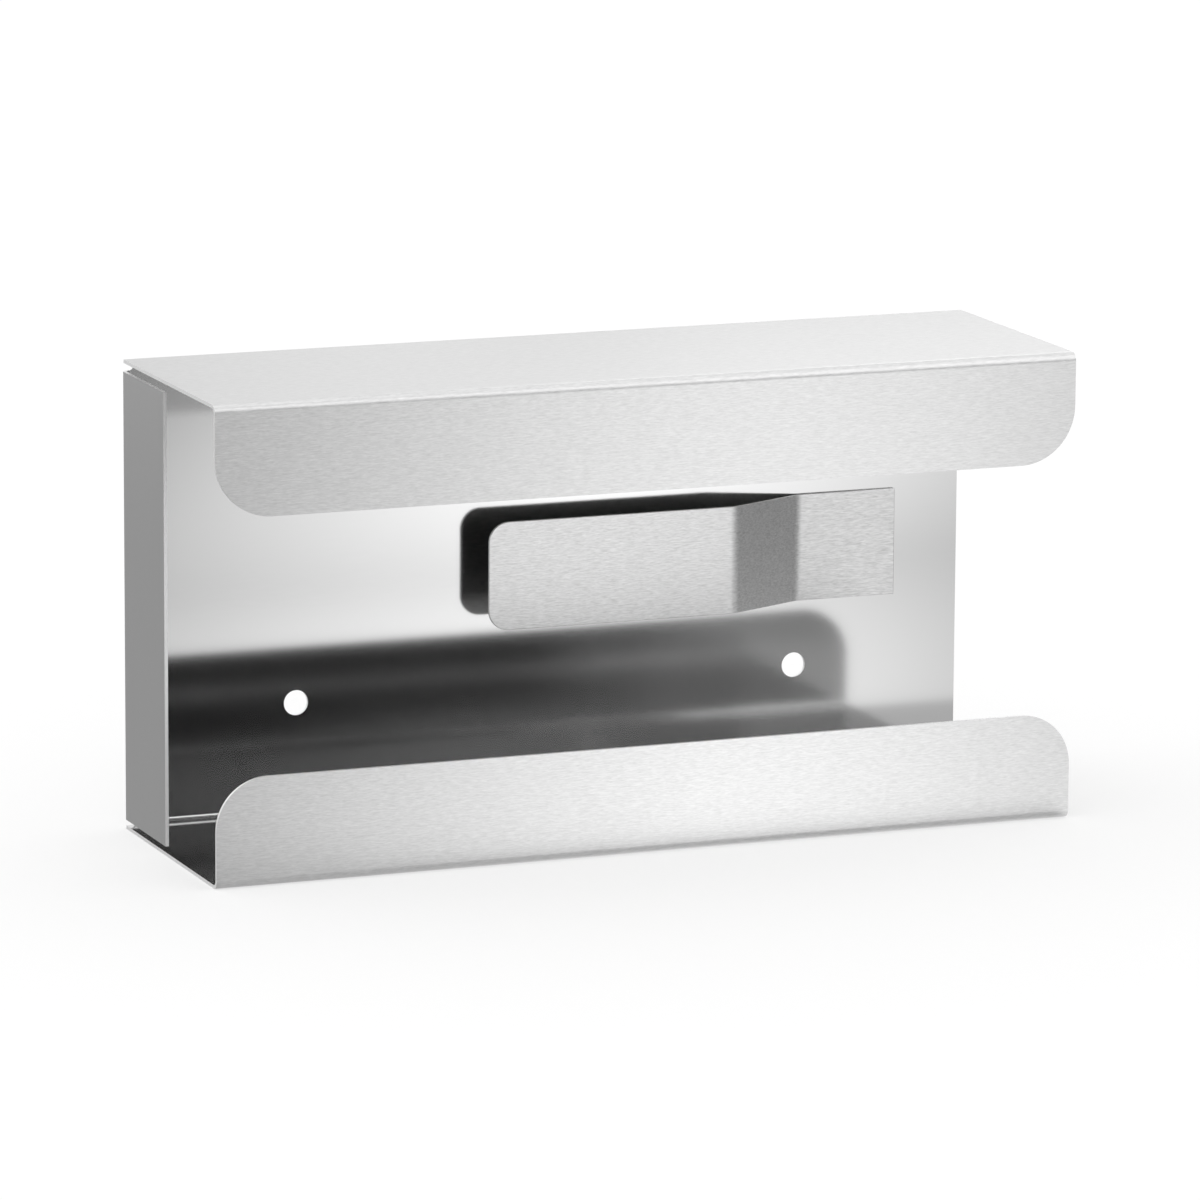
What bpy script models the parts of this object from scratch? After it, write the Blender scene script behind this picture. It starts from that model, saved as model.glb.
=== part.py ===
"""Wall-mounted dispenser for a box of disposable gloves: a housing folded from one sheet, and a leaf spring.

The front faces -Y, the wall is behind the part at +Y, and Z = 0 is the underside of the bottom panel.
The glove box slides in from the open right side and stops at the flange on the left. The leaf spring on
the back panel presses it against the two front lips. Each piece starts as a flat blank, cut to its outline,
and is then folded. One face of a blank is its skin, and depth is the distance from it into the sheet.
"""

import math

import bmesh
import bpy
from mathutils import Matrix, Vector

MM = 0.001

# Housing
WIDTH = 257 * MM
HEIGHT = 135 * MM
DEPTH = 82 * MM
SHEET = 1.0 * MM
FOLD_RADIUS = 2.5 * MM  # outer face of each fold
TOP_LIP = 31.5 * MM  # from the top face down
BOTTOM_LIP = 31.0 * MM  # from the underside up
TOP_LIP_CORNER = 16.5 * MM
BOTTOM_LIP_CORNER = 15.0 * MM
FLANGE = 37.6 * MM  # from the wall face forwards
FLANGE_GAP_TOP = 2.5 * MM  # between the flange and the top panel
FLANGE_GAP_BOTTOM = 1.6 * MM  # between the flange and the bottom panel
RELIEF_WIDTH = 3.4 * MM  # from the left end of the housing
RELIEF_CORNER = 1.5 * MM
SCREW_HOLE = 7.3 * MM  # diameter
SCREW_HOLE_INSET = 51.5 * MM  # from each end of the housing
SCREW_HOLE_HEIGHT = 32.5 * MM

# Leaf spring
STRIP_SHEET = 0.8 * MM
STRIP_WIDTH = 31.5 * MM
STRIP_HEIGHT = 67.5 * MM  # of its middle line above the underside
STRIP_INSET = 20.3 * MM  # from the open end of the housing to the end of the foot
FOOT_LENGTH = 29.3 * MM  # flat part
LEAF_LENGTH = 74.5 * MM  # flat part
LEAF_CORNER = 6.0 * MM
LEAF_STAND_OFF = 12.0 * MM  # from the back panel to the front of the leaf
RAMP_ANGLE = math.radians(24.5)
STRIP_FOLD_RADIUS = 7.0 * MM  # inner face of each fold
SEAT_GAP = 0.3 * MM  # between the foot and the back panel

# Facets of each round stretch
FOLD_FACETS = 8
STRIP_FOLD_FACETS = 6
LIP_CORNER_FACETS = 12
SMALL_CORNER_FACETS = 6
HOLE_FACETS = 48

QUARTER = math.radians(90)
SMOOTH_ANGLE = math.radians(30)
FLAT_ANGLE = math.radians(0.5)  # faces that meet at less than this are one flat face
SAME_LINE = 1e-7  # distance below which a point counts as on a crease


class Fold:
    """A turn of the sheet. A positive angle turns away from the skin, and the radius is the skin's."""

    def __init__(self, angle, radius, thickness, facets):
        self.angle = angle
        self.radius = radius
        self.facets = facets
        self.side = math.copysign(1, angle)
        self.length = abs(angle) * (radius - self.side * thickness / 2)


class FoldedRun:
    """Named flats and folds, one after another, that carry a distance along a blank into the folded shape."""

    def __init__(self, start, heading, steps):
        self.spans = []
        self.begins = {}
        self.ends = {}
        self.length = 0.0
        place, direction = Vector(start), Vector((math.cos(heading), math.sin(heading)))
        for name, step in steps.items():
            self.spans.append((self.length, place, direction, step))
            self.begins[name] = self.length
            if isinstance(step, Fold):
                centre = place + direction.orthogonal() * step.side * step.radius
                turn = Matrix.Rotation(step.angle, 2)
                place, direction = centre + turn @ (place - centre), turn @ direction
                self.length += step.length
            else:
                place = place + direction * step
                self.length += step
            self.ends[name] = self.length

    def place(self, distance, depth):
        """Point in the plane at a distance along the blank and a depth from its skin."""
        start, corner, direction, step = [span for span in self.spans if span[0] <= distance + SAME_LINE][-1]
        inwards = direction.orthogonal()
        if not isinstance(step, Fold):
            return corner + direction * (distance - start) + inwards * depth
        centre = corner + inwards * step.side * step.radius
        arm = inwards * step.side * (step.side * depth - step.radius)
        return centre + Matrix.Rotation(step.angle * (distance - start) / step.length, 2) @ arm

    def creases(self):
        """Distances at which the folds start, turn from facet to facet, and end."""
        return [
            start + step.length * i / step.facets
            for start, _, _, step in self.spans
            if isinstance(step, Fold)
            for i in range(step.facets + 1)
        ]


def arc(centre, radius, first, last, facets):
    """Points of an arc, from one angle in degrees to another."""
    angles = [math.radians(first + (last - first) * i / facets) for i in range(facets + 1)]
    return [(centre[0] + radius * math.cos(a), centre[1] + radius * math.sin(a)) for a in angles]


def circle(centre, diameter, facets):
    """Points round a hole, once each."""
    return arc(centre, diameter / 2, 0, 360, facets)[:-1]


def flat_blank(outline, holes, thickness):
    """A flat sheet with its skin on Z = 0, from the points round its outline and round its holes."""
    blank = bmesh.new()
    edges = []
    for loop in [outline, *holes]:
        corners = [blank.verts.new((u, v, 0)) for u, v in loop]
        edges += [blank.edges.new((corners[i - 1], corners[i])) for i in range(len(corners))]
    bmesh.ops.triangle_fill(blank, use_beauty=True, edges=edges)
    skin = blank.verts[:] + blank.edges[:] + blank.faces[:]
    grown = bmesh.ops.extrude_face_region(blank, geom=skin, use_keep_orig=True)["geom"]
    raised = [item for item in grown if isinstance(item, bmesh.types.BMVert)]
    bmesh.ops.translate(blank, verts=raised, vec=(0, 0, thickness))
    return blank


def crease(blank, axis, lines, low=-math.inf, high=math.inf):
    """Cuts an edge along each line square to the axis, through the faces that lie between two values of u."""
    for line in lines:
        faces = [face for face in blank.faces if low < face.calc_center_bounds().x < high]
        edges = {edge for face in faces for edge in face.edges}
        corners = {corner for face in faces for corner in face.verts}
        bmesh.ops.bisect_plane(blank, geom=[*corners, *edges, *faces], dist=SAME_LINE,
                               plane_co=axis * line, plane_no=axis)


def finished(name, blank, origin, material):
    """The object of a folded blank, with its origin at the given point and its folds shaded smooth."""
    bmesh.ops.translate(blank, verts=blank.verts[:], vec=-origin)
    bmesh.ops.recalc_face_normals(blank, faces=blank.faces[:])
    bmesh.ops.dissolve_limit(blank, angle_limit=FLAT_ANGLE, verts=blank.verts[:], edges=blank.edges[:])
    mesh = bpy.data.meshes.new(name)
    blank.to_mesh(mesh)
    blank.free()
    mesh.shade_smooth()
    mesh.set_sharp_from_angle(angle=SMOOTH_ANGLE)
    mesh.materials.append(material)
    piece = bpy.data.objects.new(name, mesh)
    piece.location = origin
    bpy.context.scene.collection.objects.link(piece)
    return piece


def steel(name, colour, roughness):
    """Bare stainless steel."""
    material = bpy.data.materials.new(name)
    material.use_nodes = True
    shader = material.node_tree.nodes["Principled BSDF"]
    shader.inputs["Base Color"].default_value = (*colour, 1)
    shader.inputs["Metallic"].default_value = 1
    shader.inputs["Roughness"].default_value = roughness
    return material


def make_housing(material):
    """Back, top and bottom panels, both lips and the side flange, folded from one sheet.

    In the blank, u runs along the upright chain from the bottom lip's edge to the top lip's edge, and v runs
    from the open right end to the left. The flange is the tab that stands out to the left of the back panel.
    """
    fold = Fold(QUARTER, FOLD_RADIUS, SHEET, FOLD_FACETS)
    upright = FoldedRun((-DEPTH / 2, BOTTOM_LIP), -QUARTER, {
        "bottom lip": BOTTOM_LIP - FOLD_RADIUS,
        "bottom front fold": fold,
        "bottom panel": DEPTH - 2 * FOLD_RADIUS,
        "bottom rear fold": fold,
        "back panel": HEIGHT - 2 * FOLD_RADIUS,
        "top rear fold": fold,
        "top panel": DEPTH - 2 * FOLD_RADIUS,
        "top front fold": fold,
        "top lip": TOP_LIP - FOLD_RADIUS,
    })
    level = FoldedRun((WIDTH / 2, DEPTH / 2), 2 * QUARTER, {
        "back panel": WIDTH - FOLD_RADIUS,
        "flange fold": fold,
        "flange": FLANGE - FOLD_RADIUS,
    })

    back_low, back_high = upright.begins["back panel"], upright.ends["back panel"]
    ground = back_low - FOLD_RADIUS  # the u that would be at height 0 if the back panel ran on flat
    flange_low = ground + SHEET + FLANGE_GAP_BOTTOM
    flange_high = ground + HEIGHT - SHEET - FLANGE_GAP_TOP
    relief = WIDTH - RELIEF_WIDTH
    relief_centre = relief + RELIEF_CORNER
    bottom_inset, top_inset = WIDTH - BOTTOM_LIP_CORNER, WIDTH - TOP_LIP_CORNER
    top_round = upright.length - TOP_LIP_CORNER

    outline = [
        *arc((BOTTOM_LIP_CORNER, BOTTOM_LIP_CORNER), BOTTOM_LIP_CORNER, 180, 270, LIP_CORNER_FACETS),
        *arc((top_round, TOP_LIP_CORNER), TOP_LIP_CORNER, 270, 360, LIP_CORNER_FACETS),
        *arc((top_round, top_inset), TOP_LIP_CORNER, 0, 90, LIP_CORNER_FACETS),
        (upright.begins["top panel"], WIDTH),
        (upright.begins["top panel"], relief),
        *arc((flange_high + RELIEF_CORNER, relief_centre), RELIEF_CORNER, 270, 180, SMALL_CORNER_FACETS),
        (flange_high, level.length),
        (flange_low, level.length),
        *arc((flange_low - RELIEF_CORNER, relief_centre), RELIEF_CORNER, 0, -90, SMALL_CORNER_FACETS),
        (upright.ends["bottom panel"], relief),
        (upright.ends["bottom panel"], WIDTH),
        *arc((BOTTOM_LIP_CORNER, bottom_inset), BOTTOM_LIP_CORNER, 90, 180, LIP_CORNER_FACETS),
    ]
    holes = [
        circle((ground + SCREW_HOLE_HEIGHT, across), SCREW_HOLE, HOLE_FACETS)
        for across in (SCREW_HOLE_INSET, WIDTH - SCREW_HOLE_INSET)
    ]

    blank = flat_blank(outline, holes, SHEET)
    crease(blank, Vector((1, 0, 0)), upright.creases())
    crease(blank, Vector((0, 1, 0)), level.creases(), back_low, back_high)
    for corner in blank.verts:
        u, v, depth = corner.co
        y, z = upright.place(u, depth)
        x = WIDTH / 2 - v
        if v > level.ends["back panel"] and back_low < u < back_high:
            x, y = level.place(v, depth)
        corner.co = (x, y, z)
    return finished("housing", blank, Vector((0, 0, 0)), material)


def make_leaf_spring(material):
    """A strip with two opposite folds, its foot flat on the back panel and its leaf standing clear of it.

    In the blank, u runs from the end of the foot to the tip of the leaf. The skin is the face to the wall.
    The object's origin is in the fold next to the foot, which the leaf bends about.
    """
    rise = LEAF_STAND_OFF - STRIP_SHEET - SEAT_GAP
    foot_fold = Fold(RAMP_ANGLE, STRIP_FOLD_RADIUS + STRIP_SHEET, STRIP_SHEET, STRIP_FOLD_FACETS)
    leaf_fold = Fold(-RAMP_ANGLE, STRIP_FOLD_RADIUS, STRIP_SHEET, STRIP_FOLD_FACETS)
    rise_of_folds = (foot_fold.radius + leaf_fold.radius) * (1 - math.cos(RAMP_ANGLE))
    run = FoldedRun((WIDTH / 2 - STRIP_INSET, DEPTH / 2 - SHEET - SEAT_GAP), 2 * QUARTER, {
        "foot": FOOT_LENGTH,
        "foot fold": foot_fold,
        "ramp": (rise - rise_of_folds) / math.sin(RAMP_ANGLE),
        "leaf fold": leaf_fold,
        "leaf": LEAF_LENGTH,
    })
    side = STRIP_WIDTH / 2
    tip = run.length - LEAF_CORNER
    outline = [
        (0, side),
        (0, -side),
        *arc((tip, LEAF_CORNER - side), LEAF_CORNER, 270, 360, SMALL_CORNER_FACETS),
        *arc((tip, side - LEAF_CORNER), LEAF_CORNER, 0, 90, SMALL_CORNER_FACETS),
    ]
    blank = flat_blank(outline, [], STRIP_SHEET)
    crease(blank, Vector((1, 0, 0)), run.creases())
    for corner in blank.verts:
        u, v, depth = corner.co
        corner.co = (*run.place(u, depth), STRIP_HEIGHT + v)
    bend = run.place(run.begins["foot fold"] + foot_fold.length / 2, STRIP_SHEET / 2)
    return finished("leaf_spring", blank, Vector((*bend, STRIP_HEIGHT)), material)


def main():
    """Clears the scene and makes both pieces."""
    for old in bpy.data.objects[:]:
        bpy.data.objects.remove(old)
    make_housing(steel("housing_steel", (0.63, 0.63, 0.62), 0.3))
    make_leaf_spring(steel("spring_steel", (0.66, 0.66, 0.65), 0.32))


main()
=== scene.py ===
"""Looks of a wall-mounted dispenser for a box of disposable gloves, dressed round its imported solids.

The housing and the leaf spring are modelled the way they are made: each is a flat blank with its outline,
corners and scored fold lines, which is folded line by line and then given the thickness of its sheet.
The front faces -Y, the wall is behind at +Y, and the holder stands on Z = 0. All sizes are in metres.
"""

import logging
import math
from collections.abc import Callable, Iterator
from contextlib import contextmanager
from dataclasses import dataclass, field
from enum import Enum
from typing import Any

import bmesh
import bpy
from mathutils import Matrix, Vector


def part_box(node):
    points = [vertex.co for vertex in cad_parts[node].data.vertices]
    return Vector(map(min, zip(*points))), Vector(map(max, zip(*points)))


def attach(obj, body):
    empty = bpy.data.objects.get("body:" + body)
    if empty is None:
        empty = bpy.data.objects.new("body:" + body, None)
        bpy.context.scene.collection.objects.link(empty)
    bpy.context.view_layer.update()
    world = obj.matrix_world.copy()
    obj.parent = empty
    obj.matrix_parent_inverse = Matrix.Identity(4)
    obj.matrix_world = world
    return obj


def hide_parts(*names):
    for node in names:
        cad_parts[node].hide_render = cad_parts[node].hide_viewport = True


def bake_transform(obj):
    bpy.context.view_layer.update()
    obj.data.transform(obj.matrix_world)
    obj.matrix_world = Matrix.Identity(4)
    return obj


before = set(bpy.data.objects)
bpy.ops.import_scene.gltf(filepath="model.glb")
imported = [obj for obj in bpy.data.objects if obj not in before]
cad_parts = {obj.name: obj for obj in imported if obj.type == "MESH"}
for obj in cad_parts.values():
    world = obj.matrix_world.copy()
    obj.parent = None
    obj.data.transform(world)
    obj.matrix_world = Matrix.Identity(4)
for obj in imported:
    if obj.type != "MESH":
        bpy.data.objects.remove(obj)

MM = 0.001
NEAR = 0.01 * MM  # distance below which two places count as the same
FLAT = math.radians(1)  # faces that meet at less than this are one panel
SMOOTH = math.radians(40)  # faces that meet at less than this are shaded as one round
SHARP = math.radians(50)  # edges that turn by more than this are cut edges
QUARTER = math.pi / 2
MOSTLY = 0.7  # share of a normal along an axis, above which its face looks that way
PUNCH = 8  # length of a screw hole's punch, in thicknesses of the sheet

log = logging.getLogger("glove_dispenser")


# Named options


class Along(Enum):
    """Run of a finish's streaks: the axes that they follow."""

    WIDTH = (True, False, False)
    DEPTH = (False, True, False)
    NOWHERE = (False, False, False)


class Surface(Enum):
    """Surfaces of a folded sheet, in the order of its material slots."""

    UPRIGHT = 0
    INNER = 1
    CUT = 2
    LEVEL = 3
    FLANK = 4


# Shader nodes


class Signal:
    """A value in a shader, on which Python arithmetic lays down Math nodes."""

    def __init__(self, shop: "ShaderShop", socket: bpy.types.NodeSocket) -> None:
        """Wraps one output socket of a tree.

        Args:
            shop: maker of the tree's nodes.
            socket: the output that carries the value.
        """
        self.shop = shop
        self.socket = socket

    def math(self, operation: str, *others: "Signal | float") -> "Signal":
        """Lays down one Math node.

        Args:
            operation: the node's operation.
            others: the values after this one.

        Returns:
            The node's result.
        """
        return self.shop.math(operation, self, *others)

    def __add__(self, other: "Signal | float") -> "Signal":
        """Sum."""
        return self.math("ADD", other)

    def __radd__(self, other: "Signal | float") -> "Signal":
        """Sum, with the number first."""
        return self.shop.math("ADD", other, self)

    def __sub__(self, other: "Signal | float") -> "Signal":
        """Difference."""
        return self.math("SUBTRACT", other)

    def __rsub__(self, other: "Signal | float") -> "Signal":
        """Difference, with the number first."""
        return self.shop.math("SUBTRACT", other, self)

    def __mul__(self, other: "Signal | float") -> "Signal":
        """Product."""
        return self.math("MULTIPLY", other)

    def __rmul__(self, other: "Signal | float") -> "Signal":
        """Product, with the number first."""
        return self.shop.math("MULTIPLY", other, self)

    def __abs__(self) -> "Signal":
        """Size without the sign."""
        return self.math("ABSOLUTE")

    def eased(self, low: float, high: float) -> "Signal":
        """A smooth climb from 0 to 1.

        Args:
            low: value where the climb starts.
            high: value where it ends.

        Returns:
            The climb's value.
        """
        values = {"Value": self, "From Min": low, "From Max": high}
        climb = self.shop.node("ShaderNodeMapRange", {"interpolation_type": "SMOOTHSTEP"}, values)
        return self.shop.signal(climb)


class ShaderShop:
    """Lays down and links the nodes of one material or world."""

    def __init__(self, owner: bpy.types.Material | bpy.types.World) -> None:
        """Empties the owner's tree.

        Args:
            owner: the material or world whose tree is built.
        """
        owner.use_nodes = True
        self.tree = owner.node_tree
        self.tree.nodes.clear()

    def node(self, kind: str, settings: dict[str, Any] | None = None,
             values: dict[str | int, Any] | None = None) -> bpy.types.Node:
        """Lays down one node.

        Args:
            kind: the node's type.
            settings: the node's own properties, which are set first.
            values: numbers, colours, signals or sockets for its inputs, by name or number.

        Returns:
            The node.
        """
        made = self.tree.nodes.new(kind)
        for name, value in (settings or {}).items():
            setattr(made, name, value)
        for name, value in (values or {}).items():
            if isinstance(value, Signal):
                value = value.socket
            if isinstance(value, bpy.types.NodeSocket):
                self.tree.links.new(value, made.inputs[name])
            else:
                made.inputs[name].default_value = value
        return made

    def signal(self, node: bpy.types.Node, output: str | int = 0) -> Signal:
        """Wraps an output of a node."""
        return Signal(self, node.outputs[output])

    def math(self, operation: str, *values: Signal | float) -> Signal:
        """Lays down a Math node.

        Args:
            operation: the node's operation.
            values: its inputs, in order.

        Returns:
            The node's result.
        """
        return self.signal(self.node("ShaderNodeMath", {"operation": operation}, dict(enumerate(values))))

    def place(self, scale: tuple[float, float, float]) -> Signal:
        """Object coordinates, scaled for a pattern.

        Args:
            scale: cells per metre along X, Y and Z.

        Returns:
            The place, as a vector.
        """
        where = self.node("ShaderNodeTexCoord").outputs["Object"]
        values = {"Vector": where, "Scale": scale}
        return self.signal(self.node("ShaderNodeMapping", {"vector_type": "POINT"}, values))

    def noise(self, place: Signal, detail: float, distortion: float = 0.0) -> Signal:
        """A noise pattern round 0.5.

        Args:
            place: the pattern's coordinates.
            detail: number of finer layers.
            distortion: how far the pattern is stirred.

        Returns:
            The pattern's value.
        """
        values = {"Vector": place, "Scale": 1.0, "Detail": detail, "Distortion": distortion}
        return self.signal(self.node("ShaderNodeTexNoise", {"noise_dimensions": "3D"}, values))

    def finish(self, surface: bpy.types.NodeSocket, kind: str = "ShaderNodeOutputMaterial") -> None:
        """Links a shader to the tree's output.

        Args:
            surface: the shader's socket.
            kind: type of the output node.
        """
        self.node(kind, values={"Surface": surface})


# Finishes


@dataclass(frozen=True)
class Grain:
    """Fine streaks that grinding, rolling or cutting leaves in steel.

    Attributes:
        run: the way that the streaks run.
        length: length of a streak.
        thickness: thickness of a streak.
        waver: how far the streaks stray.
        tone: how much they change the colour.
        gloss: how much they change the roughness.
        relief: how deep they are cut.
        finer: how much finer the second layer of streaks is.
        coarse_share: weight of the first layer.
        fine_share: weight of the second layer.
    """

    run: Along
    length: float
    thickness: float
    waver: float
    tone: float
    gloss: float
    relief: float
    finer: float = 2.3
    coarse_share: float = 0.7
    fine_share: float = 0.3

    def pattern(self, shop: ShaderShop) -> Signal:
        """Lays down the streaks, coarse ones with finer ones among them.

        Args:
            shop: maker of the material's nodes.

        Returns:
            The streaks' height, round 0.5.
        """
        scale = [1 / (self.length if follows else self.thickness) for follows in self.run.value]
        coarse = shop.noise(shop.place(tuple(scale)), 1.0, self.waver)
        fine = shop.noise(shop.place(tuple(self.finer * cells for cells in scale)), 0.0, self.waver)
        return coarse * self.coarse_share + fine * self.fine_share


@dataclass(frozen=True)
class Steel:
    """A finish of bare stainless sheet.

    Attributes:
        name: the material's name.
        roughness: its mean roughness.
        grain: its streaks.
        anisotropy: how far the streaks draw out what the steel mirrors.
        metallic: 1 on a ground or rolled face, and less on a torn edge, which scatters light.
        colour: its mean colour.
        cloud_size: size of its faint clouds.
        cloud_share: how much the clouds change the colour.
        anisotropy_turn: direction in which the mirrored surroundings are drawn out, in turns.
    """

    name: str
    roughness: float
    grain: Grain
    anisotropy: float = 0.0
    metallic: float = 1.0
    colour: tuple[float, float, float] = (0.63, 0.63, 0.63)
    cloud_size: float = 45 * MM
    cloud_share: float = 0.02
    anisotropy_turn: float = 0.25

    def material(self) -> bpy.types.Material:
        """Makes the finish's material.

        Returns:
            The material.
        """
        made = bpy.data.materials.new(self.name)
        shop = ShaderShop(made)
        streaks = self.grain.pattern(shop)
        clouds = shop.noise(shop.place((1 / self.cloud_size,) * 3), 2.0)
        tone = 1 + (streaks - 0.5) * self.grain.tone + (clouds - 0.5) * self.cloud_share
        colour = shop.node("ShaderNodeVectorMath", {"operation": "SCALE"}, {0: self.colour, "Scale": tone})
        bump = shop.node("ShaderNodeBump", values={"Height": streaks, "Distance": self.grain.relief})
        shader = shop.node("ShaderNodeBsdfPrincipled", values={
            "Base Color": colour.outputs[0], "Metallic": self.metallic,
            "Roughness": self.roughness + (streaks - 0.5) * self.grain.gloss,
            "Normal": bump.outputs[0], "Anisotropic": self.anisotropy,
            "Anisotropic Rotation": self.anisotropy_turn})
        shop.finish(shader.outputs["BSDF"])
        return made


# Sheet metal


@dataclass(frozen=True)
class Fold:
    """A round turn of the sheet, scored as parallel lines across the flat blank.

    Attributes:
        start: place of its first line on the blank.
        outwards: 1 or -1, the way from its first line to its last.
        radius: radius of the skin's side.
        angle: its whole turn, in radians.
        facets: number of its flats.
    """

    start: float
    outwards: int
    radius: float
    angle: float
    facets: int

    @property
    def facet(self) -> float:
        """Width of one facet."""
        return 2 * self.radius * math.sin(abs(self.angle) / self.facets / 2)

    @property
    def end(self) -> float:
        """Place on the blank where the next flat begins."""
        return self.start + self.outwards * self.facet * self.facets

    def scores(self) -> list[tuple[float, float]]:
        """Lists the fold's lines.

        Returns:
            The place and the turn of each line, the one furthest out first.
        """
        step = self.angle / self.facets
        turns = [step / 2, *[step] * (self.facets - 1), step / 2]
        places = [self.start + self.outwards * self.facet * i for i in range(self.facets + 1)]
        return list(zip(places, turns, strict=True))[::-1]


@dataclass
class SheetPiece:
    """A piece of sheet metal, from its flat blank to its folded and finished form.

    The blank lies upright in the plane of its skin, and its solid side is towards -Y.

    Attributes:
        name: the piece's name.
        skin: Y of the blank's skin.
        thickness: thickness of the sheet.
        edge_round: radius of its eased edges.
        edge_facets: number of facets of an eased edge.
        piece: the mesh object.
        flat: where each point lay before the folding.
    """

    name: str
    skin: float
    thickness: float
    edge_round: float = 0.16 * MM
    edge_facets: int = 3
    piece: bpy.types.Object = field(init=False)
    flat: dict[int, Vector] = field(init=False, default_factory=dict)

    def lay_blank(self, low: tuple[float, float], high: tuple[float, float]) -> None:
        """Adds a plane from one corner to the other.

        Args:
            low: lowest X and Z.
            high: highest X and Z.
        """
        bpy.ops.object.select_all(action="DESELECT")
        centre = ((low[0] + high[0]) / 2, self.skin, (low[1] + high[1]) / 2)
        bpy.ops.mesh.primitive_plane_add(size=1, location=centre, rotation=(-QUARTER, 0, 0))
        self.piece = bpy.context.active_object
        self.piece.name = self.piece.data.name = self.name
        self.piece.scale = (high[0] - low[0], high[1] - low[1], 1)
        bpy.ops.object.transform_apply(location=True, rotation=True, scale=True)

    @contextmanager
    def at_the_bench(self) -> Iterator[None]:
        """Edit mode on the piece alone.

        Yields:
            Nothing. The piece is back in object mode after the block.
        """
        bpy.ops.object.select_all(action="DESELECT")
        bpy.context.view_layer.objects.active = self.piece
        self.piece.select_set(True)
        bpy.ops.object.mode_set(mode="EDIT")
        yield
        bpy.ops.object.mode_set(mode="OBJECT")

    def pick(self, kind: str, wanted: Callable[[Any], bool]) -> None:
        """Selects some of the mesh and nothing else.

        Args:
            kind: verts, edges or faces.
            wanted: says whether one of them is selected.
        """
        bpy.ops.mesh.select_mode(type={"verts": "VERT", "edges": "EDGE", "faces": "FACE"}[kind])
        bpy.ops.mesh.select_all(action="DESELECT")
        mesh = bmesh.from_edit_mesh(self.piece.data)
        for item in getattr(mesh, kind):
            item.select_set(wanted(item))
        mesh.select_flush_mode()
        bmesh.update_edit_mesh(self.piece.data)

    def pick_border(self, axis: int, place: float, low: float = -math.inf, high: float = math.inf) -> None:
        """Selects the edges that lie on one line of the blank.

        Args:
            axis: 0 for a line at an X, 2 for a line at a Z.
            place: the line's place.
            low: lowest place along the line.
            high: highest place along the line.
        """
        along = 2 - axis

        def on_line(edge: bmesh.types.BMEdge) -> bool:
            """Says whether both ends of an edge are on the line."""
            return all(abs(v.co[axis] - place) < NEAR and low - NEAR < v.co[along] < high + NEAR
                       for v in edge.verts)

        self.pick("edges", on_line)

    def grow(self, axis: int, place: float, to: float,
             low: float = -math.inf, high: float = math.inf) -> None:
        """Extrudes a border of the blank in its plane.

        Args:
            axis: 0 to grow along X, 2 to grow along Z.
            place: where the border is.
            to: where it goes.
            low: lowest place along the border.
            high: highest place along the border.
        """
        self.pick_border(axis, place, low, high)
        by = Vector((0, 0, 0))
        by[axis] = to - place
        bpy.ops.mesh.extrude_region_move(TRANSFORM_OT_translate={"value": by})

    def round_corners(self, corners: list[tuple[float, float]], radius: float, facets: int) -> None:
        """Rounds corners of the blank's outline.

        Args:
            corners: their X and Z.
            radius: radius of the round.
            facets: number of its facets.
        """
        places = [Vector((x, self.skin, z)) for x, z in corners]
        self.pick("verts", lambda vert: any((vert.co - place).length < NEAR for place in places))
        bpy.ops.mesh.bevel(offset=radius, offset_type="OFFSET", segments=facets, profile=0.5,
                           affect="VERTICES")

    def score(self, axis: int, fold: Fold, wanted: Callable[[Any], bool]) -> None:
        """Cuts an edge along each line of a fold.

        Args:
            axis: 0 for lines at an X, 2 for lines at a Z.
            fold: the fold.
            wanted: says whether a face of the blank is crossed by it.
        """
        normal = Vector((0, 0, 0))
        normal[axis] = 1
        for place, _ in fold.scores():
            self.pick("faces", wanted)
            bpy.ops.mesh.bisect(plane_co=normal * place, plane_no=normal, threshold=NEAR / 10)

    def remember_blank(self) -> None:
        """Notes where each point lies before the folding."""
        self.flat = {vert.index: vert.co.copy() for vert in self.piece.data.vertices}

    def fold_up(self, axis: int, fold: Fold, wanted: Callable[[Vector], bool] = lambda place: True) -> None:
        """Folds the blank beyond a fold's first line, line by line from the outside in.

        Args:
            axis: 0 for a fold along Z, 2 for a fold along X.
            fold: the fold.
            wanted: says whether a point of the flat blank moves with it.
        """
        for place, turn in fold.scores():
            self.pick("verts", lambda vert: wanted(self.flat[vert.index])
                      and (self.flat[vert.index][axis] - place) * fold.outwards > NEAR)
            hinge = Vector((0, self.skin, 0))
            hinge[axis] = place
            bpy.ops.transform.rotate(value=-turn, orient_axis="XYZ"[2 - axis], center_override=hinge)

    def dress(self, finishes: tuple[bpy.types.Material, ...]) -> None:
        """Puts the finishes in the piece's slots.

        Args:
            finishes: a material for each surface, in the order of Surface.
        """
        for material in finishes:
            self.piece.data.materials.append(material)

    def apply(self, kind: str, name: str, **settings: Any) -> None:
        """Adds a modifier, sets it and applies it.

        Args:
            kind: the modifier's type.
            name: the modifier's name.
            settings: its properties.
        """
        modifier = self.piece.modifiers.new(name, kind)
        for key, value in settings.items():
            setattr(modifier, key, value)
        bpy.ops.object.select_all(action="DESELECT")
        bpy.context.view_layer.objects.active = self.piece
        self.piece.select_set(True)
        bpy.ops.object.modifier_apply(modifier=modifier.name)

    def thicken(self) -> None:
        """Gives the folded skin the thickness of its sheet."""
        self.apply("SOLIDIFY", "sheet", thickness=self.thickness, offset=-1, use_even_offset=True,
                   material_offset=Surface.INNER.value, material_offset_rim=Surface.CUT.value)

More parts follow.
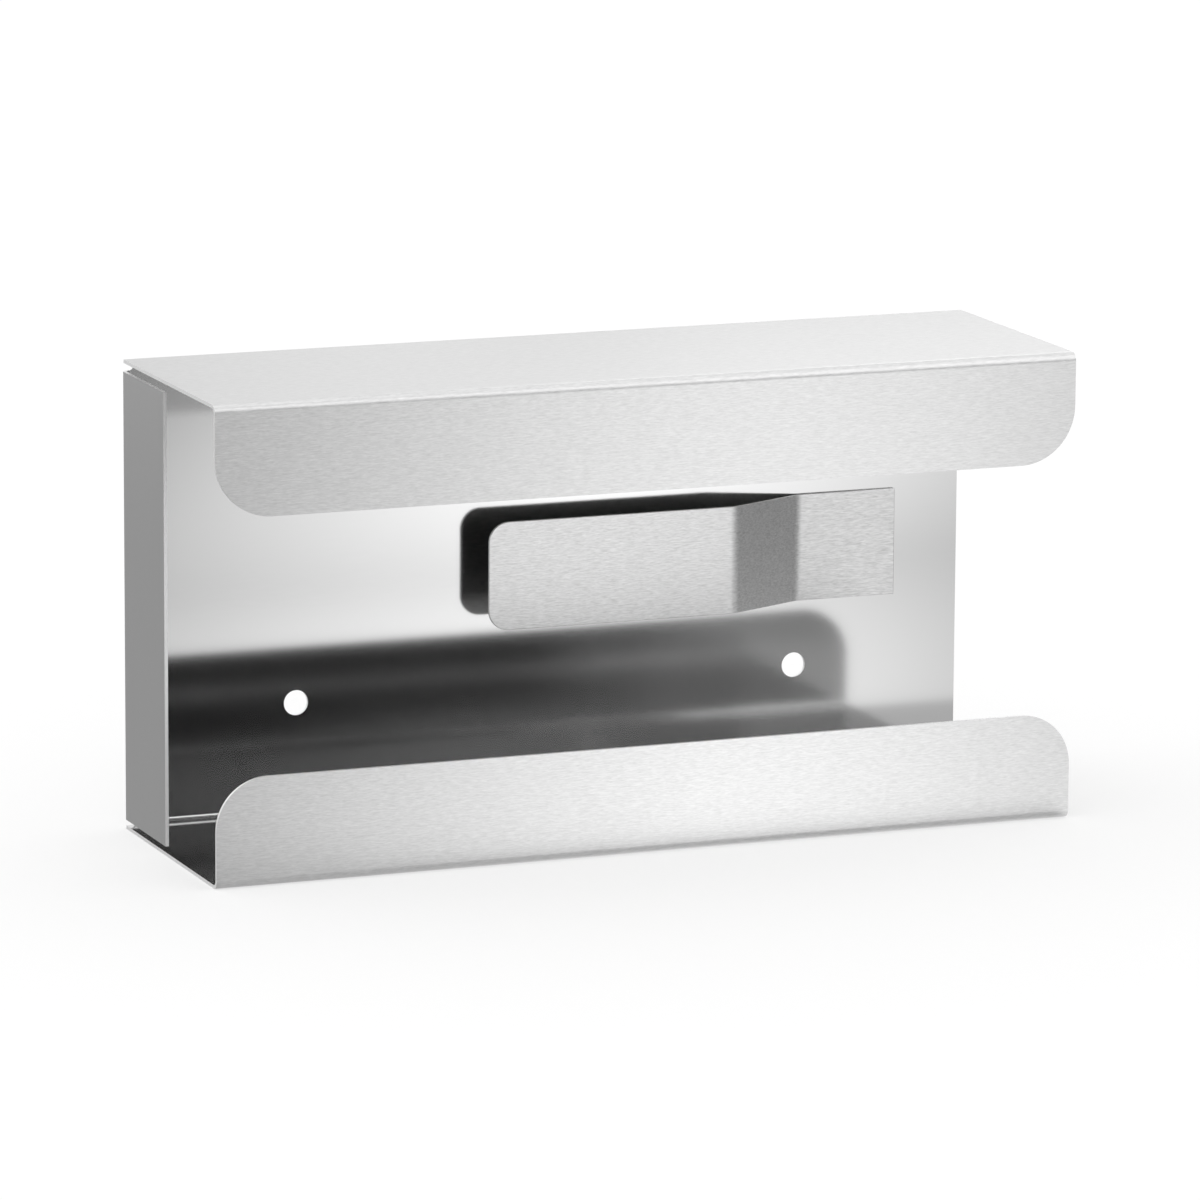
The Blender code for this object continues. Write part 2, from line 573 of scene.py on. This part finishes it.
    def sort_skin(self) -> None:
        """Gives the skin's level and sideways panels their own slots, for the run of their brushing."""
        for face in self.piece.data.polygons:
            if face.material_index != Surface.UPRIGHT.value:
                continue
            if abs(face.normal.z) > MOSTLY:
                face.material_index = Surface.LEVEL.value
            elif abs(face.normal.x) > MOSTLY:
                face.material_index = Surface.FLANK.value

    def drill(self, places: list[tuple[float, float]], diameter: float, facets: int) -> None:
        """Cuts round holes through the sheet.

        Args:
            places: X and Z of the holes.
            diameter: their diameter.
            facets: number of facets of each wall.
        """
        for x, z in places:
            bpy.ops.object.select_all(action="DESELECT")
            bpy.ops.mesh.primitive_cylinder_add(
                vertices=facets, radius=diameter / 2, depth=PUNCH * self.thickness,
                location=(x, self.skin, z), rotation=(QUARTER, 0, 0))
            punch = bpy.context.active_object
            for material in self.piece.data.materials:
                punch.data.materials.append(material)
            for face in punch.data.polygons:
                face.material_index = Surface.CUT.value
            self.apply("BOOLEAN", "hole", operation="DIFFERENCE", object=punch, solver="EXACT")
            bpy.data.objects.remove(punch)

    def press_back(self, reach: list[float]) -> None:
        """Presses points that a corner of the eased edges pushed out back into the sheet's own box.

        Args:
            reach: furthest distance from the origin along X, Y and Z.
        """
        with self.at_the_bench():
            for axis in range(3):
                for side in (-1, 1):
                    self.pick("verts", lambda vert: vert.co[axis] * side > reach[axis])
                    face, flat = Vector((0, 0, 0)), [1, 1, 1]
                    face[axis], flat[axis] = side * reach[axis], 0
                    bpy.ops.transform.resize(value=flat, center_override=face)

    def ease_edges(self) -> None:
        """Takes the sharpness off the cut edges and shades the folds smooth."""
        reach = [max(abs(vert.co[axis]) for vert in self.piece.data.vertices) for axis in range(3)]
        self.apply("BEVEL", "eased edges", width=self.edge_round, segments=self.edge_facets,
                   limit_method="ANGLE", angle_limit=SHARP, use_clamp_overlap=True, harden_normals=False,
                   miter_outer="MITER_SHARP")
        self.press_back(reach)
        bpy.ops.object.shade_smooth_by_angle(angle=SMOOTH)
        self.apply("WEIGHTED_NORMAL", "flat panels", mode="FACE_AREA", keep_sharp=True)


@dataclass
class Housing(SheetPiece):
    """Back, top and bottom panels, two lips and a side flange, folded from one sheet."""

    thickness: float = 1.0 * MM
    width: float = 257 * MM
    height: float = 135 * MM
    depth: float = 82 * MM
    fold_radius: float = 2.5 * MM  # of the skin's side of each fold
    top_lip: float = 31.5 * MM  # from the top face down
    bottom_lip: float = 31.0 * MM  # from the underside up
    top_lip_corner: float = 16.5 * MM
    bottom_lip_corner: float = 15.0 * MM
    flange: float = 37.6 * MM  # from the wall face forwards
    flange_gap_top: float = 2.5 * MM  # between the flange and the top panel
    flange_gap_bottom: float = 1.6 * MM  # between the flange and the bottom panel
    relief_width: float = 3.4 * MM  # from the left end of the housing
    relief_corner: float = 1.5 * MM
    screw_hole: float = 7.3 * MM  # diameter
    screw_hole_inset: float = 51.5 * MM  # from each end of the housing
    screw_hole_height: float = 32.5 * MM
    fold_facets: int = 12
    corner_facets: int = 20
    relief_facets: int = 8
    hole_facets: int = 64

    def build(self, finishes: tuple[bpy.types.Material, ...]) -> bpy.types.Object:
        """Makes the housing.

        Args:
            finishes: its materials, in the order of Surface.

        Returns:
            The finished housing.
        """
        self.fold()
        self.dress(finishes)
        self.thicken()
        self.sort_skin()
        side = self.width / 2 - self.screw_hole_inset
        places = [(side, self.screw_hole_height), (-side, self.screw_hole_height)]
        self.drill(places, self.screw_hole, self.hole_facets)
        self.ease_edges()
        return self.piece

    def fold(self) -> None:
        """Cuts the housing's blank and folds it up."""
        r = self.fold_radius
        right, left = self.width / 2, -self.width / 2
        relief = left + self.relief_width
        flat_depth = self.depth - 2 * r
        rear_top = Fold(self.height - r, 1, r, QUARTER, self.fold_facets)
        front_top = Fold(rear_top.end + flat_depth, 1, r, QUARTER, self.fold_facets)
        rear_bottom = Fold(r, -1, r, -QUARTER, self.fold_facets)
        front_bottom = Fold(rear_bottom.end - flat_depth, -1, r, -QUARTER, self.fold_facets)
        flange_fold = Fold(left + r, -1, r, QUARTER, self.fold_facets)
        flange_low = self.thickness + self.flange_gap_bottom
        flange_high = self.height - self.thickness - self.flange_gap_top
        flange_end = flange_fold.end - (self.flange - r)
        top = front_top.end + self.top_lip - r
        bottom = front_bottom.end - (self.bottom_lip - r)

        self.lay_blank((relief, flange_low), (right, flange_high))
        with self.at_the_bench():
            self.grow(0, relief, flange_end)
            self.grow(2, flange_high, rear_top.end, relief, right)
            self.grow(2, rear_top.end, top, relief, right)
            self.grow(0, relief, left, rear_top.end, top)
            self.grow(2, flange_low, rear_bottom.end, relief, right)
            self.grow(2, rear_bottom.end, bottom, relief, right)
            self.grow(0, relief, left, bottom, rear_bottom.end)
            bpy.ops.mesh.select_all(action="SELECT")
            bpy.ops.mesh.dissolve_limited(angle_limit=FLAT)
            for corners, radius, facets in (
                    ([(left, top), (right, top)], self.top_lip_corner, self.corner_facets),
                    ([(left, bottom), (right, bottom)], self.bottom_lip_corner, self.corner_facets),
                    ([(relief, flange_low), (relief, flange_high)], self.relief_corner, self.relief_facets)):
                self.round_corners(corners, radius, facets)
            for fold in (front_top, rear_top, rear_bottom, front_bottom):
                self.score(2, fold, lambda face: True)
            self.score(0, flange_fold, lambda face: 0 < face.calc_center_bounds().z < self.height - r
                       and face.calc_area() > self.height * self.flange)
        self.remember_blank()
        with self.at_the_bench():
            for fold in (front_top, rear_top, front_bottom, rear_bottom):
                self.fold_up(2, fold)
            tab = (flange_low - self.relief_corner - NEAR, flange_high + self.relief_corner + NEAR)
            self.fold_up(0, flange_fold, lambda place: tab[0] < place.z < tab[1])


@dataclass
class LeafSpring(SheetPiece):
    """A strip with two opposite folds, whose foot is flat on the back panel."""

    thickness: float = 0.8 * MM
    width: float = 31.5 * MM
    middle: float = 67.5 * MM  # height of its middle line
    foot_end: float = 108.2 * MM  # X of the free end of the foot
    foot_length: float = 29.3 * MM  # flat part
    leaf_length: float = 74.5 * MM  # flat part
    leaf_corner: float = 6.0 * MM
    rise: float = 10.9 * MM  # of the leaf off the plane of the foot
    ramp_angle: float = math.radians(24.5)
    fold_radius: float = 7.0 * MM  # inner face of each fold
    fold_facets: int = 12
    corner_facets: int = 16

    def build(self, finishes: tuple[bpy.types.Material, ...]) -> bpy.types.Object:
        """Makes the strip.

        Args:
            finishes: its materials, in the order of Surface.

        Returns:
            The finished strip.
        """
        self.fold()
        self.dress(finishes)
        self.thicken()
        self.ease_edges()
        return self.piece

    def fold(self) -> None:
        """Cuts the strip's blank and folds it."""
        outer = self.fold_radius + self.thickness
        foot_fold = Fold(self.foot_end - self.foot_length, -1, outer, self.ramp_angle, self.fold_facets)
        rise_of_folds = (outer + self.fold_radius) * (1 - math.cos(self.ramp_angle))
        ramp = (self.rise - rise_of_folds) / math.sin(self.ramp_angle)
        leaf_fold = Fold(foot_fold.end - ramp, -1, self.fold_radius, -self.ramp_angle, self.fold_facets)
        tip = leaf_fold.end - self.leaf_length
        low, high = self.middle - self.width / 2, self.middle + self.width / 2

        self.lay_blank((tip, low), (self.foot_end, high))
        with self.at_the_bench():
            self.round_corners([(tip, low), (tip, high)], self.leaf_corner, self.corner_facets)
            for fold in (leaf_fold, foot_fold):
                self.score(0, fold, lambda face: True)
        self.remember_blank()
        with self.at_the_bench():
            for fold in (leaf_fold, foot_fold):
                self.fold_up(0, fold)


# Studio


@dataclass(frozen=True)
class Viewpoint:
    """The camera, fitted to the straight edges of the housing."""

    place: tuple[float, float, float] = (-0.79633, -2.01439, 0.50300)
    tilt: float = 78.5610
    roll: float = -0.3325
    pan: float = -21.5102
    lens: float = 233.893
    sensor: float = 36.0
    near: float = 0.05
    far: float = 60.0

    def build(self) -> None:
        """Adds the camera and makes it the scene's."""
        data = bpy.data.cameras.new("viewpoint")
        data.lens = self.lens
        data.sensor_width = self.sensor
        data.clip_start, data.clip_end = self.near, self.far
        camera = bpy.data.objects.new("viewpoint", data)
        camera.location = self.place
        camera.rotation_euler = [math.radians(a) for a in (self.tilt, self.roll, self.pan)]
        bpy.context.scene.collection.objects.link(camera)
        bpy.context.scene.camera = camera


@dataclass(frozen=True)
class Panel:
    """A soft-edged rectangle of even strength in the surroundings.

    Attributes:
        name: the rectangle's name.
        strength: its strength, where 1 is white.
        bearing: its direction from the holder in degrees, 0 in front and 90 at the right.
        distance: its distance from the holder's middle, over the floor.
        width: its size across the bearing.
        length: its size along the bearing, or upwards where it stands.
        fade: width of its fading edge.
    """

    name: str
    strength: float
    bearing: float
    distance: float
    width: float
    length: float
    fade: float

    def cover(self, shop: ShaderShop, across: Signal, along: Signal) -> Signal:
        """Lays down how fully the panel covers a place.

        Args:
            shop: maker of the material's nodes; not used.
            across: the place across the panel, from its middle, in metres.
            along: the place along the panel, from its middle, in metres.

        Returns:
            1 on the panel, 0 off it, and less than 1 in its fading edge.
        """
        sides = (self.width / 2 - abs(across)).eased(0, self.fade)
        return sides * (self.length / 2 - abs(along)).eased(0, self.fade)


@dataclass(frozen=True)
class Card(Panel):
    """A studio card that hangs round the holder, which the metal mirrors and the camera doesn't see.

    Attributes:
        height: height of its middle above the floor.
        tilt: 0 where it lies flat, 90 where it stands upright.
    """

    height: float = 1.0
    tilt: float = 90.0

    def build(self) -> None:
        """Hangs the card, facing the holder."""
        bpy.ops.object.select_all(action="DESELECT")
        bpy.ops.mesh.primitive_plane_add(size=1)
        card = bpy.context.active_object
        card.name = card.data.name = self.name
        turn = math.radians(self.bearing)
        card.scale = (self.width, self.length, 1)
        card.rotation_euler = (math.radians(self.tilt), 0, turn)
        card.location = (self.distance * math.sin(turn), -self.distance * math.cos(turn), self.height)
        bpy.ops.object.transform_apply(location=True, rotation=True, scale=True)
        card.visible_camera = card.visible_diffuse = card.visible_shadow = False
        card.data.materials.append(self.glow())

    def glow(self) -> bpy.types.Material:
        """Makes the card's material.

        Returns:
            The material.
        """
        made = bpy.data.materials.new(self.name)
        made.cycles.emission_sampling = "NONE"
        shop = ShaderShop(made)
        where = shop.node("ShaderNodeSeparateXYZ", values={
            "Vector": shop.node("ShaderNodeTexCoord").outputs["UV"]})
        across = (shop.signal(where, "X") - 0.5) * self.width
        along = (shop.signal(where, "Y") - 0.5) * self.length
        light = shop.node("ShaderNodeEmission", values={"Strength": self.strength})
        clear = shop.node("ShaderNodeBsdfTransparent")
        mixed = shop.node("ShaderNodeMixShader", values={
            0: self.cover(shop, across, along), 1: clear.outputs[0], 2: light.outputs[0]})
        shop.finish(mixed.outputs[0])
        return made


@dataclass(frozen=True)
class Pool(Panel):
    """A pool of painted light or painted shade, which the floor shows to glossy rays only, so that the metal
    mirrors a lighter or darker part of the floor.
    """

    def over(self, shop: ShaderShop, glow: Signal | float) -> Signal:
        """Lays this pool of painted light or shade over what glossy rays see of the floor without it.

        Args:
            shop: maker of the floor's nodes.
            glow: the floor's strength without this pool.

        Returns:
            The strength with it.
        """
        turn = math.radians(self.bearing)
        where = shop.node("ShaderNodeSeparateXYZ", values={
            "Vector": shop.node("ShaderNodeTexCoord").outputs["Object"]})
        x, y = shop.signal(where, "X"), shop.signal(where, "Y")
        across = x * math.cos(turn) + y * math.sin(turn)
        along = y * math.cos(turn) - x * math.sin(turn) + self.distance
        cover = self.cover(shop, across, along)
        return (1 - cover) * glow + cover * self.strength


@dataclass(frozen=True)
class Studio:
    """White surroundings, a pale floor, the cards round the holder and pools of painted light and shade in
    what the floor shows to glossy rays.

    Attributes:
        floor_size: length of the floor's sides.
        floor_depth: how far the floor lies under the holder, so that the two faces don't coincide.
        floor_tone: the floor's own colour.
        white_level: how bright an unshaded floor looks to the camera.
        cards: what stands and hangs round the holder.
        pools: pools of painted light and painted shade, which the floor shows to glossy rays only, each laid
            over the ones before it.
    """

    floor_size: float = 14.0
    floor_depth: float = 0.05 * MM
    floor_tone: float = 0.5
    white_level: float = 1.02
    cards: tuple[Card, ...] = (
        Card("right_side", strength=0.38, bearing=72.6, distance=2.12, width=2.88,
             length=2.22, fade=0.63, height=0.66),
        Card("bright_back_left", strength=1.80, bearing=205.0, distance=1.96, width=1.60,
             length=1.20, fade=0.30, height=1.20),
        Card("bright_back_right", strength=2.00, bearing=147.0, distance=2.24, width=1.20,
             length=1.00, fade=0.22, height=0.98),
        Card("grey_back", strength=0.25, bearing=173.0, distance=2.30, width=0.64,
             length=1.00, fade=0.20, height=0.98),
        Card("dark_back_right", strength=0.25, bearing=150.0, distance=2.10, width=0.90,
             length=0.50, fade=0.15, height=0.39),
        Card("overhead", strength=1.25, bearing=180.0, distance=0.50, width=3.60,
             length=3.00, fade=0.60, height=2.10, tilt=0),
        Card("overhead_front", strength=1.62, bearing=52.9, distance=1.54, width=2.61,
             length=1.68, fade=0.48, height=1.43, tilt=40),
        Card("grey_front", strength=0.45, bearing=27.3, distance=2.25, width=0.60,
             length=0.90, fade=0.18, height=0.50),
        Card("dark_front", strength=0.00, bearing=14.5, distance=2.23, width=0.60,
             length=0.48, fade=0.10, height=0.67),
    )
    pools: tuple[Pool, ...] = (
        # painted shade, nearly black, in what the metal mirrors of the floor at the front left
        Pool("front_left_painted_shade", strength=0.02, bearing=304.8, distance=0.47, width=2.13,
             length=2.97, fade=0.09),
        # a painted pool of light, brighter than white, in what the metal mirrors of the floor in front
        Pool("front_painted_light", strength=1.80, bearing=25.4, distance=0.93, width=0.65,
             length=2.32, fade=0.36),
        # painted shade in what the metal mirrors of the floor at the right
        Pool("side_painted_shade", strength=0.36, bearing=74.2, distance=1.12, width=0.56,
             length=1.10, fade=0.17),
        # painted grey shade in what the metal mirrors of the floor at the right
        Pool("right_painted_grey_shade", strength=0.41, bearing=100.0, distance=0.56, width=0.64,
             length=0.47, fade=0.17),
        # painted shadow of the holder on the floor beside its right end, as the metal mirrors it
        Pool("painted_shadow_beside_right_end", strength=0.62, bearing=90.0, distance=0.21, width=0.086,
             length=0.18, fade=0.01),
        # painted grey shade in what the metal mirrors of the floor at the back left
        Pool("back_left_painted_grey_shade", strength=0.40, bearing=204.4, distance=0.69, width=0.55,
             length=1.47, fade=0.10),
        # painted shade in what the metal mirrors of the floor just in front of the holder
        Pool("near_painted_shade", strength=0.48, bearing=3.2, distance=0.27, width=1.99,
             length=0.42, fade=0.50),
        # painted shadow of the holder on the floor under its front edge, as the metal mirrors it
        Pool("painted_shade_under_front", strength=0.62, bearing=0.0, distance=0.045, width=0.262,
             length=0.018, fade=0.006),
    )

    def build(self) -> None:
        """Sets up the world, the floor and the cards."""
        world = bpy.data.worlds.new("studio")
        bpy.context.scene.world = world
        shop = ShaderShop(world)
        white = shop.node("ShaderNodeBackground", values={"Color": (1, 1, 1, 1), "Strength": 1.0})
        shop.finish(white.outputs[0], "ShaderNodeOutputWorld")
        self.lay_floor()
        for card in self.cards:
            card.build()

    def lay_floor(self) -> None:
        """Lays a pale floor, which looks white where nothing shades it and is open from below, and which
        shows glossy rays an even glow with pools of painted light and shade laid over it.
        """
        bpy.ops.object.select_all(action="DESELECT")
        bpy.ops.mesh.primitive_plane_add(size=self.floor_size, location=(0, 0, -self.floor_depth))
        floor = bpy.context.active_object
        floor.name = floor.data.name = "floor"
        bpy.ops.object.transform_apply(location=True)
        made = bpy.data.materials.new("pale_floor")
        made.cycles.emission_sampling = "NONE"
        shop = ShaderShop(made)
        path = shop.node("ShaderNodeLightPath")
        seen, through = shop.signal(path, "Is Camera Ray"), shop.signal(path, "Is Transmission Ray")
        clear = seen.math("MAXIMUM", through)
        tone = (self.floor_tone,) * 3
        pale = shop.node("ShaderNodeBsdfPrincipled", values={
            "Base Color": (*tone, 1), "Roughness": 1.0, "Specular IOR Level": 0.0,
            "Emission Color": (1, 1, 1, 1),
            "Emission Strength": clear * (self.white_level - self.floor_tone)})
        # Glossy rays see a glow in place of the lit floor: even white, with the pools of painted light and
        # shade laid over it.
        mirrored = 1.0
        for pool in self.pools:
            mirrored = pool.over(shop, mirrored)
        painted_reflection = shop.node("ShaderNodeEmission", values={"Strength": mirrored})
        top = shop.node("ShaderNodeMixShader", values={
            0: shop.signal(path, "Is Glossy Ray"), 1: pale.outputs["BSDF"], 2: painted_reflection.outputs[0]})
        below = shop.signal(shop.node("ShaderNodeNewGeometry"), "Backfacing")
        open_floor = shop.node("ShaderNodeBsdfTransparent")
        mixed = shop.node("ShaderNodeMixShader", values={
            0: below, 1: top.outputs[0], 2: open_floor.outputs[0]})
        shop.finish(mixed.outputs[0])
        floor.data.materials.append(made)


# The holder


def main() -> None:
    """Builds the holder in order and reports each piece."""
    logging.basicConfig(level=logging.INFO, format="%(name)s: %(message)s")
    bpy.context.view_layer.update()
    bpy.context.scene.view_settings.view_transform = "Standard"
    Viewpoint().build()
    Studio().build()

    ground = Grain(Along.WIDTH, length=2.7 * MM, thickness=0.37 * MM, waver=0.5,
                   tone=0.52, gloss=0.06, relief=0.003 * MM)
    coarse = Grain(Along.WIDTH, length=2.8 * MM, thickness=0.4 * MM, waver=0.5,
                   tone=0.9, gloss=0.08, relief=0.004 * MM)
    sideways = Grain(Along.DEPTH, length=3.0 * MM, thickness=0.55 * MM, waver=0.6,
                     tone=0.05, gloss=0.04, relief=0.002 * MM)
    rolled = Grain(Along.WIDTH, length=9.0 * MM, thickness=0.7 * MM, waver=0.4,
                   tone=0.02, gloss=0.015, relief=0.0)
    shorn = Grain(Along.NOWHERE, length=0.3 * MM, thickness=0.3 * MM, waver=0.3,
                  tone=0.15, gloss=0.1, relief=0.01 * MM)
    upright = Steel("upright", 0.3, ground, anisotropy=0.7).material()
    strip = Steel("strip", 0.3, coarse, anisotropy=0.7).material()
    level = Steel("level", 0.3, ground).material()
    flank = Steel("flank", 0.3, sideways).material()
    smooth = Steel("smooth", 0.1, rolled).material()
    cut = Steel("cut", 0.5, shorn, metallic=0.5, colour=(0.92, 0.92, 0.92)).material()

    housing = Housing("folded_housing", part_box("housing")[1].y)
    piece = housing.build((upright, smooth, cut, level, flank))
    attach(piece, "housing")
    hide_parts("housing")
    log.info("%s: %d faces", piece.name, len(piece.data.polygons))

    spring = LeafSpring("spring_strip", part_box("leaf_spring")[1].y)
    piece = spring.build((strip, strip, cut))
    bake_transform(piece)
    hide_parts("leaf_spring")
    log.info("%s: %d faces", piece.name, len(piece.data.polygons))


if __name__ == "__main__":
    main()
